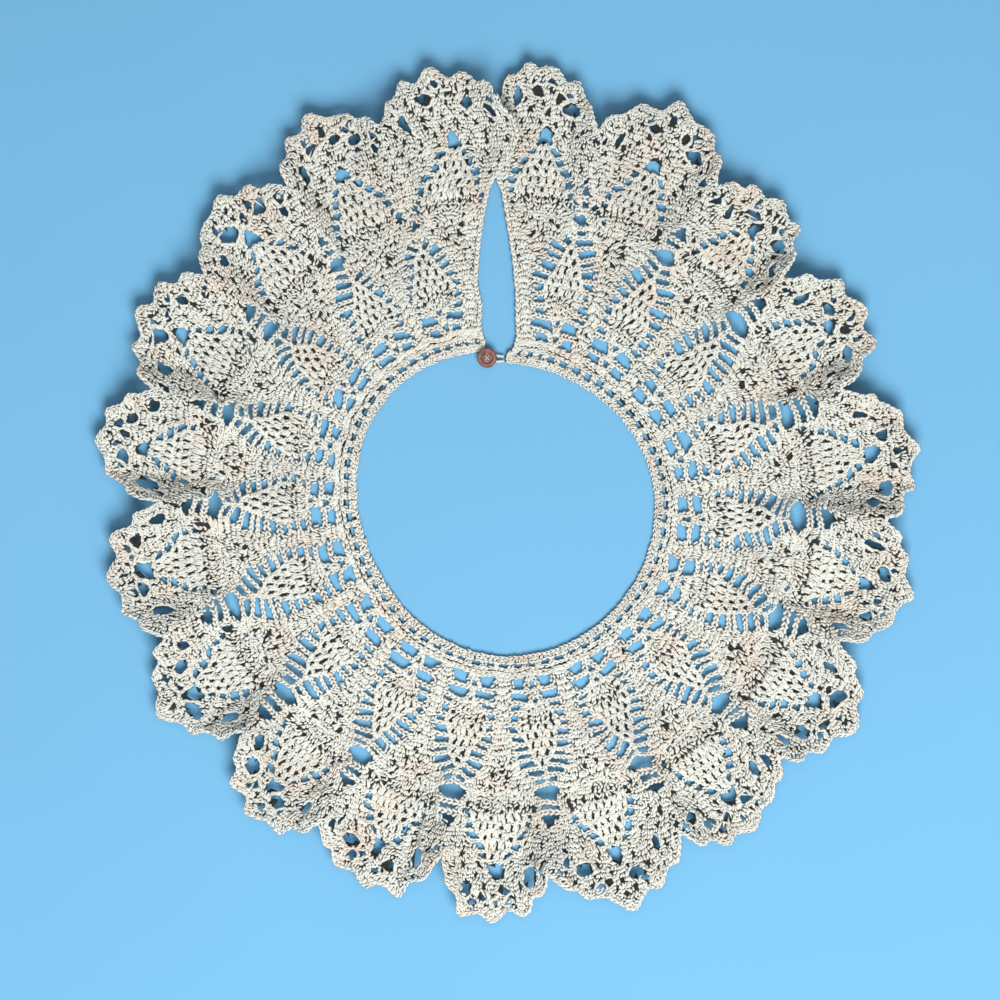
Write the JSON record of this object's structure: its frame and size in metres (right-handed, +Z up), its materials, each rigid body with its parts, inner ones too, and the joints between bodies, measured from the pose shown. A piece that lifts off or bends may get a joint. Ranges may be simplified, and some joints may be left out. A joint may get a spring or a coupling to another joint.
{
  "type": "crocheted lace collar laid flat",
  "caption": "Detachable round lace collar with a narrow neck band, a leaf-patterned yoke and a ruffled scalloped rim, closed by a button and loop.",
  "frame": {"origin": "middle of the collar's box, on the surface that it lies on", "axes": "+Y from the neck's centre towards the opening and its button, +Z up off the surface, +X to the right"},
  "size_m": [0.3446, 0.3601, 0.0149],
  "materials": {
    "cotton_yarn": "matte twisted cotton yarn",
    "button_plastic": "glossy red-brown translucent plastic",
    "sewing_thread": "matte cotton thread"
  },
  "bodies": {
    "root": {"neck_band": "cotton_yarn", "lace_yoke": "cotton_yarn", "scallop_01": "cotton_yarn", "scallop_02": "cotton_yarn", "scallop_03": "cotton_yarn", "scallop_04": "cotton_yarn", "scallop_05": "cotton_yarn", "scallop_06": "cotton_yarn", "scallop_07": "cotton_yarn", "scallop_08": "cotton_yarn", "scallop_09": "cotton_yarn", "scallop_10": "cotton_yarn", "scallop_11": "cotton_yarn", "scallop_12": "cotton_yarn", "scallop_13": "cotton_yarn", "scallop_14": "cotton_yarn", "scallop_15": "cotton_yarn", "scallop_16": "cotton_yarn", "scallop_17": "cotton_yarn", "scallop_18": "cotton_yarn", "scallop_19": "cotton_yarn", "button": "button_plastic", "button_thread": "sewing_thread", "button_loop": "cotton_yarn"}
  },
  "joints": []
}
